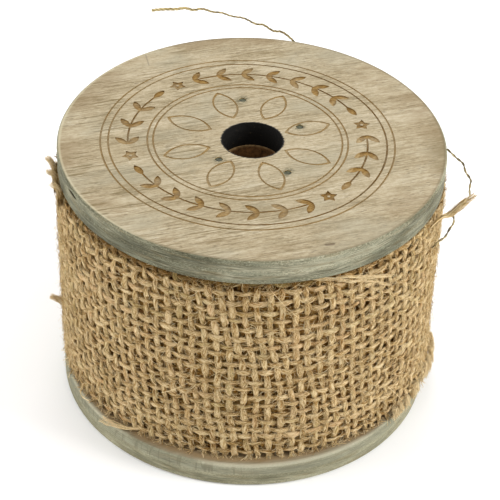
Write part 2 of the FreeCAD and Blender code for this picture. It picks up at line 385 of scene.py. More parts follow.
def washed_rim(nodes, x, y, z, depth, decorated):
    """The rim's colour, its level before the colours, its patches and the point on the unrolled rim."""
    ply = nodes.math("DIVIDE", depth, ply_thickness)
    odd_ply = nodes.math("LESS_THAN", nodes.math("MODULO", ply, 2.0), 1.0)
    from_glue = nodes.math("ABSOLUTE", nodes.math("SUBTRACT", nodes.math("FRACT", ply), 0.5))
    angle = nodes.math("ARCTAN2", y, x)
    unrolled = nodes.add("CombineXYZ", {0: nodes.times(angle, rim_unrolled_radius), 1: z})
    long_grain = nodes.scaled_noise(unrolled, (0.22, 4.6, 1), 5.0, 0.8, 0.4)
    end_grain = nodes.scaled_noise(unrolled, (2.0, 3.4, 1), 4.0, 0.8)
    patches = nodes.scaled_noise(unrolled, (0.05, 0.25, 1), 3.0)
    hue_place = nodes.add("Mapping", {0: unrolled, 3: (0.12, 0.9, 1), 1: (9.0, 4.0, 0.0)})
    hue = nodes.noise(hue_place, 4.0, 0.6)
    level = nodes.add("Mix", {0: nodes.times(odd_ply, 0.6), 2: long_grain, 3: end_grain})
    level = nodes.shifted(patches, level, 2.2)
    if decorated:
        level = rim_level_by_angle(nodes, nodes.math("DEGREES", angle), level)
    edge = nodes.ramp(level, [(0.22, (74, 72, 50)), (0.48, (123, 121, 96)), (0.76, (182, 177, 150))])
    edge = nodes.tint(edge, (134, 136, 114), nodes.step(hue, 0.50, 0.66), 0.5)
    edge = nodes.tint(edge, (128, 112, 74), nodes.step(hue, 0.48, 0.34), 0.45)
    glue_share = nodes.times(nodes.step(from_glue, 0.42, 0.50), nodes.step(patches, 0.62, 0.42))
    edge = nodes.tint(edge, (84, 78, 58), glue_share, 0.5)
    return edge, level, patches, unrolled


def plywood_material(name, upper_face, decorated):
    """Grey-washed plywood: one long grain on the faces, and the plies' edges in bands round the rim.
    inwards is a point's distance from the rim, and depth its distance below the upper face."""
    nodes = Nodes(name)
    x, y, z, radius = nodes.cylindrical()
    inwards = nodes.math("SUBTRACT", flange_radius, radius)
    depth = nodes.math("SUBTRACT", upper_face, z)
    face, level, streaks, fibres, speckle, wash = washed_face(nodes, x, radius)
    edge, edge_level, rim_patches, unrolled = washed_rim(nodes, x, y, z, depth, decorated)
    on_rim = nodes.step(inwards, 0.5, 0.2)
    near_edge = nodes.times(nodes.step(inwards, 1.0, 0.6), nodes.step(depth, 0.7, 0.3))
    if decorated:
        # A ragged dark band along the rim's lower edge, just over the ribbon: painted shade.
        ragged_depth = nodes.math("MULTIPLY_ADD", rim_patches, -0.7, depth)
        edge = nodes.tint(edge, (66, 56, 34), nodes.step(ragged_depth, 5.1, 5.6), 0.6)
        colour = nodes.mix(on_rim, marked_face(nodes, face, x, y, streaks, speckle), edge)
        before_rim = nodes.step(inwards, 0.2, 0.5)
        # Along the face's outer edge: brown at the front and right, and pale at the left, which is a painted
        # highlight on the arris.
        edge_brown_and_highlight = nodes.mix(nodes.step(x, -14.0, -32.0), linear((104, 92, 64)), linear((196, 188, 158)))
        colour = nodes.mix(nodes.times(near_edge, before_rim, 0.45), colour, edge_brown_and_highlight)
        colour = burnt(nodes, colour, radius, inwards, depth)
        # The void in the rim is painted near black: painted shade inside it.
        behind_rim = nodes.band(inwards, 0.1, 0.3, 4.5, 12.5)
        painted_shade_in_rim_gap = nodes.times(behind_rim, nodes.band(depth, 0.8, 1.0, 3.0, 4.0))
        colour = nodes.tint(colour, (18, 14, 8), painted_shade_in_rim_gap)
    else:
        colour = nodes.mix(on_rim, plain_face(nodes, face, radius, depth, wash), edge)
        upper_plies = nodes.times(on_rim, nodes.step(z, 2.9, 3.5))
        colour = nodes.tint(colour, (160, 164, 150), upper_plies, 0.22)
        crossing = nodes.scaled_noise(unrolled, (0.5, 0.07, 1), 1.0)
        off_line = nodes.math("ABSOLUTE", nodes.math("SUBTRACT", crossing, 0.5))
        cracks = nodes.times(nodes.step(off_line, 0.045, 0.012), upper_plies, nodes.step(x, 6.0, -4.0))
        colour = nodes.tint(colour, (92, 88, 68), cracks, 0.55)
        # Paler along the upper edge, in patches: partly wear, partly a painted highlight where the lip
        # catches the light.
        colour = nodes.tint(colour, (196, 190, 168), near_edge, nodes.step(rim_patches, 0.40, 0.56), 0.5)
        colour = nodes.tint(colour, (188, 180, 142), on_rim, 0.18)
    # The bore's wall is charred black by the cut, and painted darker still: painted shade deep in the bore.
    ragged_radius = nodes.shifted(radius, fibres, 0.9)
    in_bore = nodes.step(ragged_radius, 7.1, 6.8)
    colour = nodes.tint(colour, (8, 6, 3), in_bore)
    relief = nodes.add("Mix", {0: on_rim, 2: level, 3: edge_level})
    roughness = nodes.math("MULTIPLY_ADD", fibres, 0.3, 0.55)
    return nodes.finish(colour, roughness, relief, 0.22, {"Specular IOR Level": 0.3})


def core_material():
    """Turned softwood, charred on the bore's wall."""
    nodes = Nodes("turned_softwood_finish")
    _, _, z, radius = nodes.cylindrical()
    grain = nodes.noise(nodes.place((1.1, 1.1, 0.05)), 4.0, 0.6)
    wood = nodes.ramp(grain, [(0.3, (120, 92, 58)), (0.5, (158, 126, 84)), (0.7, (182, 152, 108))])
    mottle = nodes.noise(nodes.place((0.6, 0.6, 0.5)), 4.0, 0.7)
    char = nodes.ramp(mottle, [(0.32, (66, 46, 28)), (0.62, (150, 106, 62))])
    near_top = nodes.step(z, top_flange_underside - 0.6, top_flange_underside - 0.05)
    in_bore = nodes.step(radius, charred_radius + 0.2, charred_radius - 0.1)
    bored = nodes.times(in_bore, nodes.math("SUBTRACT", 1.0, near_top))
    roughness = nodes.math("MULTIPLY_ADD", grain, 0.3, 0.5)
    return nodes.finish(nodes.mix(bored, wood, char), roughness, grain, 0.15, {"Specular IOR Level": 0.3})


def steel_material(name, dark, light, metallic):
    nodes = Nodes(name)
    tarnish = nodes.noise(nodes.place((1.6, 1.6, 1.6)), 4.0, 0.6)
    colour = nodes.ramp(tarnish, [(0.35, dark), (0.65, light)])
    roughness = nodes.math("MULTIPLY_ADD", tarnish, 0.4, 0.3)
    return nodes.finish(colour, roughness, tarnish, 0.04, {"Metallic": metallic, "Specular IOR Level": 0.25})


def give_material(node, material):
    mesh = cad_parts[node].data
    mesh.materials.clear()
    mesh.materials.append(material)


give_material("top_flange", plywood_material("top_plywood", face_height, True))
give_material("bottom_flange", plywood_material("bottom_plywood", bottom_flange_top, False))
give_material("core", core_material())
brad_finish = steel_material("brad_finish", (20, 20, 12), (92, 94, 68), 0.0)
staple_finish = steel_material("staple_finish", (120, 118, 112), (170, 168, 160), 0.8)
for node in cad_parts:
    if "brad" in node:
        give_material(node, brad_finish)
    if "staple" in node:
        give_material(node, staple_finish)


# Meshes of yarns: every yarn is a capped tube

yarns_apart_in_texture = 53.0
upwards = np.array([0.0, 0.0, 1.0])


def one_each(low, high, count):
    """A random number between low and high for each of count yarns or fibres, in a column."""
    return random.uniform(low, high, (count, 1))


def unit(vectors):
    """The vectors with a length of 1."""
    return vectors / np.linalg.norm(vectors, axis=-1, keepdims=True)


def distance_along(lines):
    """How far each point is along its line."""
    steps = np.diff(lines, axis=-2, prepend=lines[..., :1, :])
    return np.cumsum(np.linalg.norm(steps, axis=-1), axis=-1)


class Tubes:
    """Tubes of the same number of rings and sides, gathered to make one mesh.

    centres and sideways are arrays of (tubes, rings, 3) and the half sizes and tone of (tubes, rings)."""

    def __init__(self, centres, sideways, half_widths, half_heights, tone, side_count, twist_pitch):
        along = unit(np.gradient(centres, axis=1))
        outward = unit(np.cross(sideways, along))
        across = np.cross(along, outward)
        around = np.linspace(0, 2 * np.pi, side_count, endpoint=False)
        width = (half_widths[..., None] * np.cos(around))[..., None]
        height = (half_heights[..., None] * np.sin(around))[..., None]
        self.points = centres[:, :, None] + across[:, :, None] * width + outward[:, :, None] * height
        travelled = distance_along(centres)
        place = travelled + yarns_apart_in_texture * np.arange(len(centres))[:, None]
        turned = around + 2 * np.pi * travelled[..., None] / twist_pitch
        reach = half_widths[..., None] * np.ones_like(turned)
        spread = place[..., None] * np.ones_like(turned)
        self.fibre = np.stack([reach * np.cos(turned), reach * np.sin(turned), spread], axis=-1)
        self.tone = tone[..., None] * np.ones_like(turned)

    def faces(self, first):
        """Quads between the rings and a cap at each end, with the points numbered from first."""
        tubes, rings, sides = self.points.shape[:3]
        number = np.arange(tubes * rings * sides).reshape(tubes, rings, sides) + first
        beside = np.roll(number, -1, axis=2)
        quads = np.stack([number[:, :-1], beside[:, :-1], beside[:, 1:], number[:, 1:]], axis=-1)
        caps = [number[:, 0, ::-1], number[:, -1]]
        return quads.reshape(-1, 4).tolist() + np.concatenate(caps).tolist()


def surface_strands(centres, sideways, half_widths, half_heights, tone, per_yarn, pitch):
    """Bundles of fibres that wind round each yarn, so that its sides and surface are uneven."""
    outward = unit(np.cross(sideways, np.gradient(centres, axis=1)))
    across = unit(sideways)
    count, rings = half_widths.shape
    travelled = distance_along(centres)
    bundles = []
    for strand in range(per_yarn):
        own_pitch = pitch * one_each(0.75, 1.35, count)
        turn = 2 * np.pi * (travelled / own_pitch + strand / per_yarn + one_each(0, 0.5, count))
        wander = 1 + 0.16 * np.sin(travelled * one_each(0.9, 2.2, count) + turn)
        sway = (half_widths * wander * 0.80 * np.cos(turn))[..., None]
        rise = (half_heights * wander * 0.86 * np.sin(turn))[..., None]
        radius = one_each(*strand_radius, count) * np.ones((1, rings))
        own_tone = tone + random.normal(0, 0.09, (count, 1))
        places = centres + across * sway + outward * rise
        bundles.append((places, sideways, radius, radius, own_tone))
    gathered = [np.concatenate(parts) for parts in zip(*bundles)]
    return Tubes(*gathered, side_count=3, twist_pitch=4.0)


def smooth_mesh(name, points, faces, material, attributes):
    mesh = bpy.data.meshes.new(name)
    mesh.from_pydata((points * mm).tolist(), [], faces)
    for key, values in attributes.items():
        kind, field = ("FLOAT_VECTOR", "vector") if values.ndim == 2 else ("FLOAT", "value")
        mesh.attributes.new(key, kind, "POINT").data.foreach_set(field, values.ravel())
    mesh.polygons.foreach_set("use_smooth", [True] * len(faces))
    mesh.materials.append(material)
    made = bpy.data.objects.new(name, mesh)
    bpy.context.scene.collection.objects.link(made)
    return made


def yarn_piece(name, groups, material):
    """One object from groups of tubes."""
    faces = []
    counted = 0
    for group in groups:
        faces += group.faces(counted)
        counted += group.points[..., 0].size
    points = np.concatenate([group.points.reshape(-1, 3) for group in groups])
    fibre = np.concatenate([group.fibre.reshape(-1, 3) for group in groups])
    tone = np.concatenate([group.tone.ravel() for group in groups])
    return smooth_mesh(name, points, faces, material, {"fibre": fibre, "tone": tone})


# Ribbon's surface: place on the cloth is an angle along the ribbon and a height


def lobe(angle, centre, half_width):
    """1 at the centre angle, falling smoothly to 0 at half_width either side."""
    apart = np.abs((angle - centre + 180.0) % 360.0 - 180.0)
    return 0.5 + 0.5 * np.cos(np.pi * np.clip(apart / half_width, 0, 1))


def slack(angle, z):
    """How far the last turn stands out from an even roll: tight in front and baggy at the sides."""
    low = np.clip((ribbon_top - z) / ribbon_width, 0, 1)
    tight = -0.75 * lobe(angle, 270, 80) - 0.85 * lobe(angle, 262, 90) * low**6
    left = (1.85 - 0.55 * low) * lobe(angle, 182, 62)
    right = 1.0 * lobe(angle, 356, 52) + 0.85 * low**8 * lobe(angle, 354, 50)
    tucked = -1.0 * (1 - low) ** 12 * lobe(angle, 268, 105)
    return tight + left + right + tucked


def wound_radius(angle):
    """Radius of the spiral's middle line at an angle along the ribbon."""
    return last_turn_radius + ribbon_thickness * (angle - last_turn_start) / 360.0


def on_cloth(angle, z, lift, bagginess=1.0, tightness=1.0):
    """Points at a place on the cloth, raised from its middle surface by lift."""
    off_roll = slack(angle, z)
    moved = tightness * np.minimum(off_roll, 0) + bagginess * np.maximum(off_roll, 0)
    radius = wound_radius(angle) + moved + lift
    turn = np.radians(angle)
    return np.stack([radius * np.cos(turn), radius * np.sin(turn), z + 0 * radius], axis=-1)


def outward(angle):
    turn = np.radians(angle)
    return np.stack([np.cos(turn), np.sin(turn), 0 * turn], axis=-1)


def tangent(angle):
    turn = np.radians(angle)
    return np.stack([-np.sin(turn), np.cos(turn), 0 * turn], axis=-1)


class Ripples:
    """Smooth random curves between about -1 and 1, one for each yarn: sums of a few sine waves."""

    def __init__(self, count, wavelengths):
        self.wavelengths = wavelengths
        self.phases = random.uniform(0, 2 * np.pi, (len(wavelengths), count, 1))

    def at(self, place):
        """The curves' values, as (yarns, places)."""
        waves = zip(self.wavelengths, self.phases)
        total = sum(np.sin(2 * np.pi * place / length + phase) for length, phase in waves)
        return total / len(self.wavelengths)


def painted_shade_and_light(angle, z):
    """How much darker the ribbon is painted where it goes under the top flange's rim, in front: painted
    shadow of the overhang.
    It is painted paler at the right and a little at the left: painted light on the sides."""
    # Painted shadow under the top flange's rim, and painted light on the sides.
    painted_rim_shadow = 0.9 * np.clip((z - ribbon_top + 2.9) / 0.9, 0, 1) * lobe(angle, 240, 140)
    return painted_rim_shadow - 0.10 * lobe(angle, 335, 60) - 0.05 * lobe(angle, 205, 60)


def yarn_tone(over, slub, weight, angle, z):
    """How light a woven yarn is: lighter where it lies on top and darker where it dips under a crossing yarn,
    which is painted shade; lighter where it is thick; and darker under the top flange's rim and paler at the
    sides, as painted shade and painted light.
    """
    return 0.48 + 0.11 * over + 0.08 * slub + 0.3 * (weight - 1) - painted_shade_and_light(angle, z)


def crimp(phase):
    """The up and down of a woven yarn: 1 over a crossing yarn and -1 under it, with short slopes."""
    rise = np.cos(np.pi * phase)
    return rise / np.sqrt(rise**2 + crimp_flatness**2) * math.sqrt(1 + crimp_flatness**2)


class Cloth:
    """Plain weave on the roll from one angle to another: crosswise yarns stand, lengthwise yarns go round."""

    def __init__(self, start, end, bagginess, rings_per_crossing):
        self.bagginess = bagginess
        self.rings = rings_per_crossing
        self.degrees_per_mm = math.degrees(1 / arc_radius)
        self.count = round((end - start) / (crosswise_pitch * self.degrees_per_mm))
        self.angles = start + (np.arange(self.count) + 0.5) * (end - start) / self.count
        uneven = np.clip(random.normal(0, 0.09, lengthwise_count), -0.2, 0.2)
        self.heights = ribbon_bottom + (np.arange(lengthwise_count) + 0.5 + uneven) * lengthwise_pitch
        self.lean = random.normal(0, 0.45, (self.count, 1))
        self.shared_wave = Ripples(1, (31.0, 47.0))
        self.crosswise_wave = Ripples(self.count, (9.0, 17.0, 29.0))
        self.lengthwise_wave = Ripples(lengthwise_count, (8.0, 15.0, 33.0))
        self.crosswise_slub = Ripples(self.count, (5.0, 8.5, 21.0))
        self.lengthwise_slub = Ripples(lengthwise_count, (4.5, 9.0, 19.0))
        self.crosswise_weight = np.clip(random.normal(1.0, 0.11, (self.count, 1)), 0.72, 1.3)
        self.lengthwise_weight = np.clip(random.normal(1.0, 0.13, (lengthwise_count, 1)), 0.72, 1.35)

    def crosswise_angles(self, z):
        """Angle of each crosswise yarn at the heights z."""
        angles = self.angles[:, None]
        shared = 0.55 * self.shared_wave.at(z + 0.7 * angles)
        own = 0.30 * self.crosswise_wave.at(z) + self.lean * (z - ribbon_middle) / ribbon_width
        skewed = crosswise_skew * (1 - lobe(angles, cut_end_angle, 75))
        skew = skewed * (ribbon_middle - z) / ribbon_width
        return angles + (shared + own + skew) * self.degrees_per_mm

    def lengthwise_heights(self, angle):
        """Height of each lengthwise yarn at the angles. The lowest ones ride up at the front right."""
        place = angle / self.degrees_per_mm
        shared = 0.25 * self.shared_wave.at(place + 2.1 * self.heights[:, None])
        own = 0.22 * self.lengthwise_wave.at(place)
        low = (ribbon_top - self.heights[:, None]) / ribbon_width
        ride_up = 0.7 * lobe(angle, 318, 30) * low**4
        return self.heights[:, None] + shared + own + ride_up

    def crosswise_yarns(self, first=0, last=None):
        """The crosswise yarns first to last, and where each one ends."""
        last = self.count if last is None else last
        ring_count = (lengthwise_count + 1) * self.rings + 1
        z = np.linspace(ribbon_bottom - 0.1, ribbon_top + 0.3, ring_count)
        angle = self.crosswise_angles(z)[first:last]
        heights = self.lengthwise_heights(self.angles[None, :])[:, first:last]
        heights = np.concatenate([heights[:1] - lengthwise_pitch, heights, heights[-1:] + lengthwise_pitch])
        rows = np.arange(-1, lengthwise_count + 1)
        phase = np.array([np.interp(z, heights[:, yarn], rows) for yarn in range(last - first)])
        index = np.arange(first, last)[:, None]
        over = crimp(phase + index)
        slub = 1 + 0.16 * self.crosswise_slub.at(z)[first:last]
        weight = self.crosswise_weight[first:last] * slub
        spread = np.where(over > 0, 1 + 0.06 * over, 1 + 0.14 * over)
        centres = on_cloth(angle, z[None, :], crosswise_crimp * over, self.bagginess)
        half_widths = crosswise_size[0] * weight * spread
        half_heights = crosswise_size[1] * np.sqrt(weight)
        tone = yarn_tone(over, self.crosswise_slub.at(z + 40)[first:last], weight, angle, z)
        yarns = (centres, tangent(angle), half_widths, half_heights, tone)
        return yarns, (angle, centres, half_widths)

    def lengthwise_yarns(self, start, end):
        """The lengthwise yarns between two angles."""
        step = (self.angles[1] - self.angles[0]) / self.rings
        ring_count = round((end - start) / step) + 1
        angle = np.linspace(start, end, ring_count)
        z = self.lengthwise_heights(angle)
        crossings = self.crosswise_angles(self.heights[None, :])
        index = np.arange(self.count)
        phase = np.array([
            np.interp(angle, crossings[:, row], index, left=-0.5, right=self.count - 0.5)
            for row in range(lengthwise_count)
        ])
        over = -crimp(phase + np.arange(lengthwise_count)[:, None])
        place = angle / self.degrees_per_mm
        weight = self.lengthwise_weight * (1 + 0.17 * self.lengthwise_slub.at(place))
        half_widths = lengthwise_size[0] * weight * (1 + 0.12 * over)
        half_heights = lengthwise_size[1] * np.sqrt(weight)
        centres = on_cloth(angle[None, :], z, lengthwise_crimp * over, self.bagginess)
        sideways = np.broadcast_to(upwards, centres.shape)
        tone = yarn_tone(over, self.lengthwise_slub.at(place + 40), weight, angle, z)
        return centres, -sideways, half_widths, half_heights, tone


def solid_yarns(yarns, share, side_count, twist_pitch):
    """The yarns as smooth tubes of a share of their size."""
    centres, sideways, half_widths, half_heights, tone = yarns
    return Tubes(centres, sideways, share * half_widths, share * half_heights, tone, side_count, twist_pitch)


# Loose fibres


def fibre_tubes(centres, thickness, tone, taper=0.45):
    """Thin fibres along points (fibres, rings, 3). tone is one for each fibre, or one for each ring too."""
    count, rings = centres.shape[:2]
    shrink = np.linspace(1, taper, rings)[None, :]
    radii = thickness[:, None] * shrink
    along = np.gradient(centres, axis=1)
    aside = np.cross(along, np.array([0.31, 0.22, 0.93]))
    aside /= np.linalg.norm(aside, axis=2, keepdims=True) + 1e-9
    tones = np.broadcast_to(np.reshape(tone, (count, -1)), (count, rings))
    return Tubes(centres, aside, radii, radii, tones, side_count=3, twist_pitch=6.0)


def brush(roots, direction, outwards, sideways, widths, per_yarn, lengths):
    """Fibres that splay from yarns' cut ends. All directions are arrays of (yarns, 3)."""
    count = len(roots) * per_yarn
    roots, direction, outwards, sideways, widths = (
        np.repeat(values, per_yarn, axis=0) for values in (roots, direction, outwards, sideways, widths)
    )
    across = one_each(-0.85, 0.85, count) * widths[:, None]
    deep = one_each(-0.3, 0.3, count)
    start = roots + sideways * across + outwards * deep
    reach = one_each(*lengths, count)
    bend_out = one_each(0.0, 0.8, count) * outwards
    bend_side = random.normal(0, 0.45, (count, 1)) * sideways
    ring_count = 5
    share = np.linspace(0, 1, ring_count)[None, :, None]
    straight = direction[:, None] * reach[:, None] * share
    bend = (bend_out + bend_side)[:, None] * reach[:, None] * share**2
    return start[:, None] + straight + bend


def between_flanges(points):
    """Keeps fibres between the flanges' faces where they are over them."""
    gap = 0.06
    radius = np.hypot(points[..., 0], points[..., 1])
    inside = radius < flange_radius + 0.1
    z = np.clip(points[..., 2], bottom_flange_top + gap, top_flange_underside - gap)
    points[..., 2] = np.where(inside, z, points[..., 2])
    return points


def frayed_edge(yarn_ends, top):
    """The brush of fibres at the crosswise yarns' cut ends along one edge of the ribbon."""
    angle, centres, half_widths = yarn_ends
    ring = -1 if top else 0
    direction = np.broadcast_to(upwards if top else -upwards, (len(angle), 3))
    roots = centres[:, ring] - direction * 0.6
    end_angle = angle[:, ring]
    lengths = (0.7, 1.6) if top else (0.8, 2.1)
    widths = half_widths[:, ring]
    fibres = brush(roots, direction, outward(end_angle), tangent(end_angle), widths, 14, lengths)
    thickness = random.uniform(0.06, 0.13, len(fibres))
    # The top brush gets darker tones than the bottom one: painted shade under the top flange.
    tone = random.uniform(-0.3, 0.3, len(fibres)) if top else random.uniform(0.25, 0.85, len(fibres))
    return fibre_tubes(between_flanges(fibres), thickness, tone)


def frayed_edges(yarn_ends):
    return [frayed_edge(yarn_ends, top) for top in (True, False)]


def surface_hairs(count, angles, lengths, stand, thickness, ring_count=6):
    """Fine curved fibres that lie on the cloth, some with one end standing away from it."""
    share = np.linspace(0, 1, ring_count)[None, :]
    length = one_each(*lengths, count)
    heading = one_each(0, 2 * np.pi, count) + random.normal(0, 1.0, (count, 1)) * share
    step = length / ring_count
    run = np.cumsum(np.cos(heading) * step, axis=1)
    climb = np.cumsum(np.sin(heading) * step, axis=1)
    angle = one_each(*angles, count) + run * math.degrees(1 / arc_radius)
    z = one_each(ribbon_bottom, ribbon_top, count) + climb
    arch = one_each(0.0, 0.4, count) * np.sin(np.pi * share)
    standing = random.exponential(stand, (count, 1)) * share**2
    depth = one_each(0.15, 0.66, count)
    points = on_cloth(angle, z, depth + arch + standing)
    thick = random.uniform(*thickness, count)
    return fibre_tubes(between_flanges(points), thick, random.uniform(0.0, 1.0, count), taper=0.6)


# Ribbon: the last turn with its free end, the turn beneath it, and the rest of the roll

under_start = lift_angle - 367.0
outer_cloth = Cloth(under_start, cut_end_angle, bagginess=1.0, rings_per_crossing=3)
seam = int(np.searchsorted(outer_cloth.angles, lift_angle))
seam_angle = outer_cloth.angles[seam - 1]
turn_crosswise, turn_ends = outer_cloth.crosswise_yarns(0, seam)
end_crosswise, end_ends = outer_cloth.crosswise_yarns(seam)
turn_lengthwise = outer_cloth.lengthwise_yarns(under_start, seam_angle)
end_lengthwise = outer_cloth.lengthwise_yarns(seam_angle, cut_end_angle)


def woven_pieces(name, crosswise, lengthwise):
    """The cloth's yarns as one piece, and the bundles of fibres round each set of yarns as two more."""
    cores = [solid_yarns(crosswise, core_share, 7, 12.0), solid_yarns(lengthwise, core_share, 7, 9.0)]
    weave = yarn_piece(name + "_weave", cores, jute_yarn)
    upright = yarn_piece(name + "_crosswise_strands", [surface_strands(*crosswise, 4, 9.0)], jute_yarn)
    level = yarn_piece(name + "_lengthwise_strands", [surface_strands(*lengthwise, 4, 7.0)], jute_yarn)
    return weave, [upright, level]


outer_weave, outer_strands = woven_pieces("outer_turn", turn_crosswise, turn_lengthwise)
free_weave, free_strands = woven_pieces("free_end", end_crosswise, end_lengthwise)

last_turn = (last_turn_start, lift_angle)
outer_fringe = yarn_piece("outer_turn_fringe", frayed_edges(turn_ends), jute_hair)
hairs = surface_hairs(6200, last_turn, lengths=(1.2, 5.0), stand=0.22, thickness=(0.026, 0.056))
outer_hairs = yarn_piece("outer_turn_hairs", [hairs], jute_hair)
fuzz = surface_hairs(
    9800, last_turn, lengths=(0.6, 2.4), stand=0.30, thickness=(0.022, 0.044), ring_count=4
)
outer_fuzz = yarn_piece("outer_turn_fuzz", [fuzz], jute_hair)


def cut_end_fibres():
    """The lengthwise yarns' cut ends, which fray past the last crosswise yarn."""
    angle = np.full(lengthwise_count, cut_end_angle)
    z = outer_cloth.lengthwise_heights(np.array([cut_end_angle]))[:, 0]
    roots = on_cloth(angle, z, 0.0) - tangent(angle) * 0.8
    sideways = np.broadcast_to(upwards, roots.shape)
    widths = np.full(lengthwise_count, lengthwise_size[0])
    fibres = brush(roots, tangent(angle), outward(angle) * 0.4, sideways, widths, 12, (1.4, 4.0))
    thickness = random.uniform(0.05, 0.11, len(fibres))
    return fibre_tubes(fibres, thickness, random.uniform(0.25, 0.75, len(fibres)))


free_fringe = yarn_piece("free_end_fringe", [*frayed_edges(end_ends), cut_end_fibres()], jute_hair)
hairs = surface_hairs(
    400, (lift_angle + 4, cut_end_angle - 4), lengths=(1.2, 5.0), stand=0.10, thickness=(0.024, 0.055)
)
free_hairs = yarn_piece("free_end_hairs", [hairs], jute_hair)

beneath_start = under_start - 362.0
beneath_cloth = Cloth(beneath_start, under_start + 1.0, bagginess=0.75, rings_per_crossing=2)
beneath_yarns = [
    solid_yarns(beneath_cloth.crosswise_yarns()[0], 1.0, 6, 12.0),
    solid_yarns(beneath_cloth.lengthwise_yarns(beneath_start, under_start + 1.0), 1.0, 6, 9.0),
]
beneath_weave = yarn_piece("turn_beneath_weave", beneath_yarns, jute_beneath_painted_shade)


def inner_strip():
    """The rest of the roll: one long thin strip wound from the core outwards, and its length."""
    half_thickness = 0.35
    degrees_per_segment = 6.0
    wound = last_turn_radius - core_radius - ribbon_thickness
    start = last_turn_start - 360.0 * wound / ribbon_thickness
    angle = np.linspace(start, beneath_start, round((beneath_start - start) / degrees_per_segment))
    follows = np.linspace(0, 1, len(angle)) ** 4
    corners = [
        (-half_thickness, ribbon_bottom), (half_thickness, ribbon_bottom),
        (half_thickness, ribbon_top), (-half_thickness, ribbon_top),
    ]
    sides = [on_cloth(angle, height, lift, 0.0, follows) for lift, height in corners]
    points = np.stack(sides, axis=1)
    number = np.arange(4 * len(angle)).reshape(-1, 4)
    beside = np.roll(number, -1, axis=1)
    quads = np.stack([number[:-1], number[1:], beside[1:], beside[:-1]], axis=-1).reshape(-1, 4).tolist()
    quads += [number[0].tolist(), number[-1, ::-1].tolist()]
    length = np.sum(wound_radius(angle)) * np.radians(angle[1] - angle[0])
    flat = points.reshape(-1, 3)
    attributes = {"fibre": flat, "tone": np.full(len(flat), 0.4)}
    return smooth_mesh("inner_turns", flat, quads, jute_beneath_painted_shade, attributes), length


inner_turns, inner_length = inner_strip()


# Loose yarns: strands twisted round a smooth line


def smooth_line(route):
    """Points along the smooth line that has the route's points as its control points."""
    curve = bpy.data.curves.new("route", "CURVE")
    curve.dimensions = "3D"
    spline = curve.splines.new("NURBS")
    spline.points.add(len(route) - 1)
    for point, place in zip(spline.points, route):
        point.co = (*place, 1.0)
    spline.order_u = 3
    spline.use_endpoint_u = True
    holder = bpy.data.objects.new("route", curve)
    mesh = bpy.data.meshes.new_from_object(holder)
    points = np.array([tuple(vertex.co) for vertex in mesh.vertices])
    bpy.data.objects.remove(holder)
    bpy.data.meshes.remove(mesh)
    return points


def twisted_strands(line, radius, strand_count, pitch, lightness):
    """Strands that wind round a line. radius is the yarn's, at each point of the line."""
    openness = 0.55
    along = unit(np.gradient(line, axis=0))
    side = unit(np.cross(along, np.array([0.2, 0.3, 1.0])))
    other = np.cross(along, side)
    turn = 2 * np.pi * (distance_along(line) / pitch + np.arange(strand_count)[:, None] / strand_count)
    offset = side * np.cos(turn)[..., None] + other * np.sin(turn)[..., None]
    centres = line + offset * (openness * radius)[:, None]
    half = np.broadcast_to(radius * (1 - openness) * 1.15, turn.shape)
    tone = lightness + 0.15 * np.sin(turn)
    sideways = np.broadcast_to(side, centres.shape)
    return Tubes(centres, sideways, half, half, tone, side_count=6, twist_pitch=2.0)


def loose_bundle(
    route, flat_along, half_width, half_height, count, lightness,
    thickness=(0.05, 0.09), root_shade=0.0, hairs=None,
):
    """Untwisted fibres side by side along a smooth line, in a bundle that is wide in the direction
    flat_along. half_width is a function of the share of the line, and half_height its start and end
    values. root_shade darkens the first part. hairs are the stray hairs' count, lengths and spread."""
    line = smooth_line(route)
    ring_count = 10
    share = np.linspace(0, 1, ring_count) * one_each(0.80, 1.0, count)
    at = [np.interp(share, np.linspace(0, 1, len(line)), line[:, axis]) for axis in range(3)]
    centres = np.stack(at, axis=-1)
    along = line[-1] - line[0]
    side = unit(np.array(flat_along) - along * np.dot(flat_along, along) / np.dot(along, along))
    other = np.cross(unit(along), side)
    reach = np.sqrt(one_each(0, 1, count))
    turn = one_each(0, 2 * np.pi, count)

    def sway():
        waves = one_each(0.5, 1.6, count)
        return 0.40 * np.sin(2 * np.pi * share * waves + one_each(0, 6, count))

    across = (reach * np.cos(turn) * (0.7 + 0.5 * share) + sway()) * half_width(share)
    deep = (reach * np.sin(turn) + sway()) * np.interp(share, (0, 1), half_height)
    fibres = centres + across[..., None] * side + deep[..., None] * other
    tone = lightness + random.normal(0, 0.20, (count, 1)) - root_shade * (1 - share) ** 2
    bundle = fibre_tubes(fibres, random.uniform(*thickness, count), tone, taper=0.6)
    return [bundle, stray_hairs(line, *hairs)] if hairs else [bundle]


def stray_hairs(line, count, lengths, spread):
    """Short fine hairs that leave a loose yarn."""
    start = line[random.integers(0, len(line), count)]
    direction = unit(random.normal(0, 1, (count, 3)))
    bend = random.normal(0, spread, (count, 3))
    ring_count = 6
    share = np.linspace(0, 1, ring_count)[None, :, None]
    length = random.uniform(*lengths, (count, 1, 1))
    points = start[:, None] + length * (direction[:, None] * share + bend[:, None] * share**2)
    return fibre_tubes(points, random.uniform(0.018, 0.035, count), random.uniform(0.5, 0.95, count))


cord_line = smooth_line(cord_route)
cord_share = np.linspace(0, 1, len(cord_line))
cord_radius = cord_diameter / 2 * (0.95 + 0.14 * np.sin(9 * cord_share) + 0.40 * cord_share**3)
cord_lightness = 0.34 + 0.40 * cord_share**2
cord_strands = twisted_strands(cord_line, cord_radius, strand_count=3, pitch=3.4, lightness=cord_lightness)
back_yarn = yarn_piece("back_loose_yarn", [cord_strands], jute_thread_painted_shade)
cord_hairs = stray_hairs(cord_line, 26, (0.6, 2.4), 0.5)
back_yarn_hairs = yarn_piece("back_loose_yarn_hairs", [cord_hairs], jute_hair)

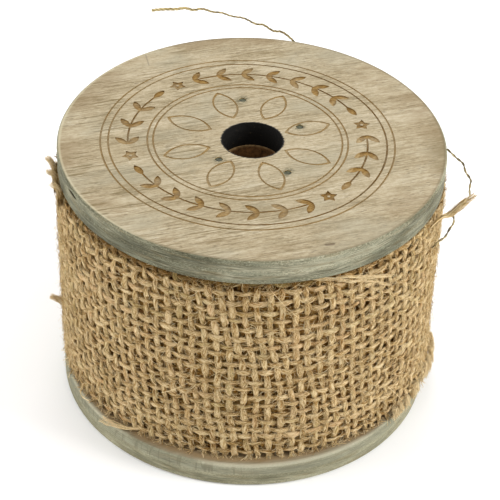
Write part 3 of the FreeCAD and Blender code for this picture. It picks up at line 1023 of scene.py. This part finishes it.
tuft_route = [
    (38.8, -16.6, 54.2), (40.8, -15.0, 55.9), (42.2, -13.8, 55.4), (43.3, -12.8, 55.0), (45.3, -11.2, 56.3),
    (47.4, -10.2, 57.9), (48.7, -10.0, 58.8),
]
thread_to_rim = [
    (42.5, 0.0, 63.3), (44.5, -1.5, 62.0), (46.1, -3.0, 61.8), (46.4, -4.5, 60.5),
    (47.9, -6.0, 59.5), (47.2, -8.0, 58.8), (47.4, -10.0, 58.0),
]
thread_below_tuft = [
    (43.7, -12.0, 54.9), (44.6, -12.5, 53.1), (43.4, -13.0, 51.3), (42.6, -14.0, 49.6),
    (41.0, -15.0, 49.3), (39.8, -16.0, 48.2),
]
flat_route = [
    (-21.6, -33.0, 7.2), (-23.5, -33.1, 6.8), (-25.6, -32.7, 6.6), (-28.0, -31.6, 6.5), (-30.0, -30.7, 6.5),
    (-31.7, -29.8, 6.5),
]
loop_route = [
    (-34.0, -19.6, 9.6), (-36.0, -20.4, 9.0), (-36.9, -21.8, 7.6), (-36.3, -23.8, 6.8), (-34.4, -25.0, 7.2),
]
wisp_places = [
    [(284.0, 56.6), (291.0, 56.2), (298.4, 54.6), (303.5, 52.4)],
    [(297.0, 55.4), (305.0, 53.6), (313.0, 51.2), (320.0, 49.0)],
    [(300.0, 53.6), (306.0, 52.6), (313.0, 49.6), (318.0, 46.9)],
]
left_places = [(0.5, 54.4), (0.6, 57.4), (1.2, 59.6), (2.6, 60.6)]
side_tuft_route = [(-42.3, -4.6, 19.0), (-43.6, -5.0, 20.6), (-45.2, -5.4, 21.2)]
straw_places = [
    ((277.0, 54.6), (286.0, 46.6)), ((320.4, 17.0), (330.0, 7.4)), ((327.4, 12.6), (324.0, 7.2)),
    ((291.0, 33.0), (300.0, 35.5)), ((245.0, 22.0), (254.0, 27.5)), ((302.0, 51.5), (310.0, 54.0)),
]


def rim_tuft(angle, places, half_width, lightness, root_shade):
    """A crosswise yarn's opened end outside a flange's rim. places are (distance past the rim, z)."""
    turn = np.array(angle)
    route = [tuple(outward(turn) * (flange_radius + past) + np.array([0, 0, z])) for past, z in places]
    return loose_bundle(
        route, tangent(turn), lambda share: half_width * (0.8 + 0.5 * share), (0.55, 0.55),
        80, lightness, thickness=(0.03, 0.06), root_shade=root_shade, hairs=(12, (0.5, 1.4), 0.4),
    )


def even_yarn(route, radius, lightness):
    line = smooth_line(route)
    return twisted_strands(line, np.full(len(line), radius), strand_count=2, pitch=3.0, lightness=lightness)


def tuft_half_width(share):
    """The yarn that stands away at the right is a flat bundle that opens towards its end."""
    return 0.28 + 0.42 * np.sin(np.pi * share**1.3) ** 2 + 0.45 * share**6


def wisp(places):
    """A flat loosened yarn that lies along the cloth under the top flange, at the front right."""
    route = [tuple(on_cloth(np.array(a), np.array(z), 0.7)) for a, z in places]
    return loose_bundle(
        route, (0.0, 0.0, 1.0), lambda share: 0.2 + 0.3 * np.sin(np.pi * share),
        (0.12, 0.12), 14, 0.9, thickness=(0.04, 0.07),
    )


def straws():
    """Single coarse fibres that lie on the cloth, bowed outwards."""
    ring_count = 8
    share = np.linspace(0, 1, ring_count)
    ends = np.array(straw_places)
    places = ends[:, :1] + (ends[:, 1:] - ends[:, :1]) * share[None, :, None]
    lift = 0.75 + 0.5 * np.sin(np.pi * share) * np.ones((len(ends), 1))
    points = on_cloth(places[..., 0], places[..., 1], lift)
    return fibre_tubes(points, random.uniform(0.06, 0.09, len(ends)), np.full(len(ends), 1.0))


tuft_hairs = (30, (0.8, 2.6), 0.4)
tuft = loose_bundle(tuft_route, (0.2, 0.9, 0.5), tuft_half_width, (0.28, 0.44), 75, 0.50, hairs=tuft_hairs)
right_tuft = yarn_piece("right_loose_yarn", tuft, jute_hair)
thread_radii = ((thread_to_rim, 0.24), (thread_below_tuft, 0.25))
threads = [even_yarn(route, radius, lightness=0.36) for route, radius in thread_radii]
right_threads = yarn_piece("right_loose_threads", threads, jute_thread_painted_shade)
wisps = [tubes for places in wisp_places for tubes in wisp(places)]
top_float = yarn_piece("front_loose_yarn", [*wisps, straws()], jute_hair)
flat_end = loose_bundle(
    flat_route, (0.4, 0.9, 0.0), lambda share: 0.30 + 0.75 * share**1.5, (0.16, 0.21), 40, 0.75,
    hairs=(10, (0.6, 1.6), 0.3),
)
bottom_yarn = yarn_piece("bottom_loose_yarn", [*flat_end, even_yarn(loop_route, 0.11, 0.8)], jute_hair)
left_tufts = yarn_piece(
    "left_yarn_ends",
    [
        *(
            tubes
            for angle in (187.0, 193.0, 199.5)
            for tubes in rim_tuft(angle, left_places, half_width=0.66, lightness=0.85, root_shade=1.3)
        ),
        *loose_bundle(
            side_tuft_route, (0.1, 0.3, 0.9), lambda share: 0.9 - 0.4 * share, (0.35, 0.35), 45, 0.9
        ),
    ],
    jute_hair,
)


def right_places(angle):
    """Where a yarn's end at the lower right goes: the ends stand further out round the bulge at the right."""
    bulge = float(lobe(angle, 356, 16))
    root = (0.2 + 1.1 * bulge, 8.8 + 2.0 * bulge)
    middle = (0.65 + 1.6 * bulge, 7.0 + 1.5 * bulge)
    return [root, middle, (0.7 + 1.2 * bulge * random.uniform(0.6, 1.2), random.uniform(3.9, 6.2))]


right_tufts = yarn_piece(
    "right_yarn_ends",
    [
        tubes
        for angle in np.arange(325.0, 366.0, 3.6)
        for tubes in rim_tuft(
            angle + random.normal(0, 0.9), right_places(angle), half_width=0.8, lightness=1.05, root_shade=0.0
        )
    ],
    jute_hair,
)


# Which pieces ride on the spool, and the CAD's ribbon and loose yarn hidden

on_roll = [
    *outer_strands, outer_fringe, outer_hairs, outer_fuzz, right_tuft, right_threads, top_float, bottom_yarn,
    left_tufts, right_tufts,
]
on_spool = [outer_weave, *on_roll, beneath_weave, inner_turns, back_yarn, back_yarn_hairs]
with_free_end = [*free_strands, free_fringe, free_hairs]
for piece in on_spool:
    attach(piece, "spool")

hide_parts("ribbon_inner_turns")
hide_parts("ribbon_outer_turn")
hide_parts("ribbon_loose_end")
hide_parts("loose_yarn")


# Floor, lights and world


def add_floor():
    nodes = Nodes("floor_finish")
    speckle = nodes.noise(nodes.place((0.02, 0.02, 0.02)), 2.0)
    pale = nodes.ramp(speckle, [(0.3, (248, 248, 248)), (0.7, (252, 252, 252))])
    material = nodes.finish(pale, 0.9, speckle, 0.0, {"Specular IOR Level": 0.0})
    mesh = bpy.data.meshes.new("floor")
    half = 3.0
    level = -0.05 * mm
    corners = [(-half, -half, level), (half, -half, level), (half, half, level), (-half, half, level)]
    mesh.from_pydata(corners, [], [(0, 1, 2, 3)])
    mesh.materials.append(material)
    floor = bpy.data.objects.new("floor", mesh)
    bpy.context.scene.collection.objects.link(floor)


def add_light(name, place, size, power):
    """A square soft light at a place in metres, turned to the spool."""
    data = bpy.data.lights.new(name, "AREA")
    data.size = size
    data.energy = power
    light = bpy.data.objects.new(name, data)
    light.location = place
    towards = Vector((0, 0, 0.035)) - Vector(place)
    light.rotation_euler = towards.to_track_quat("-Z", "Y").to_euler()
    bpy.context.scene.collection.objects.link(light)


add_floor()
add_light("key", (0.90, -0.20, 0.46), size=0.45, power=8.0)
add_light("left", (-0.85, -0.10, 0.40), size=0.60, power=4.2)
add_light("back", (-0.10, 0.75, 0.80), size=0.60, power=2.5)

world = bpy.data.worlds.new("studio")
world.use_nodes = True
background = world.node_tree.nodes["Background"]
background.inputs["Color"].default_value = (1.0, 1.0, 1.0, 1.0)
background.inputs["Strength"].default_value = 0.87
bpy.context.scene.world = world
bpy.context.scene.view_settings.view_transform = "Standard"

# The free end's pieces are final by now: their transforms go into their meshes.

for piece in [free_weave, *with_free_end]:
    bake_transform(piece)
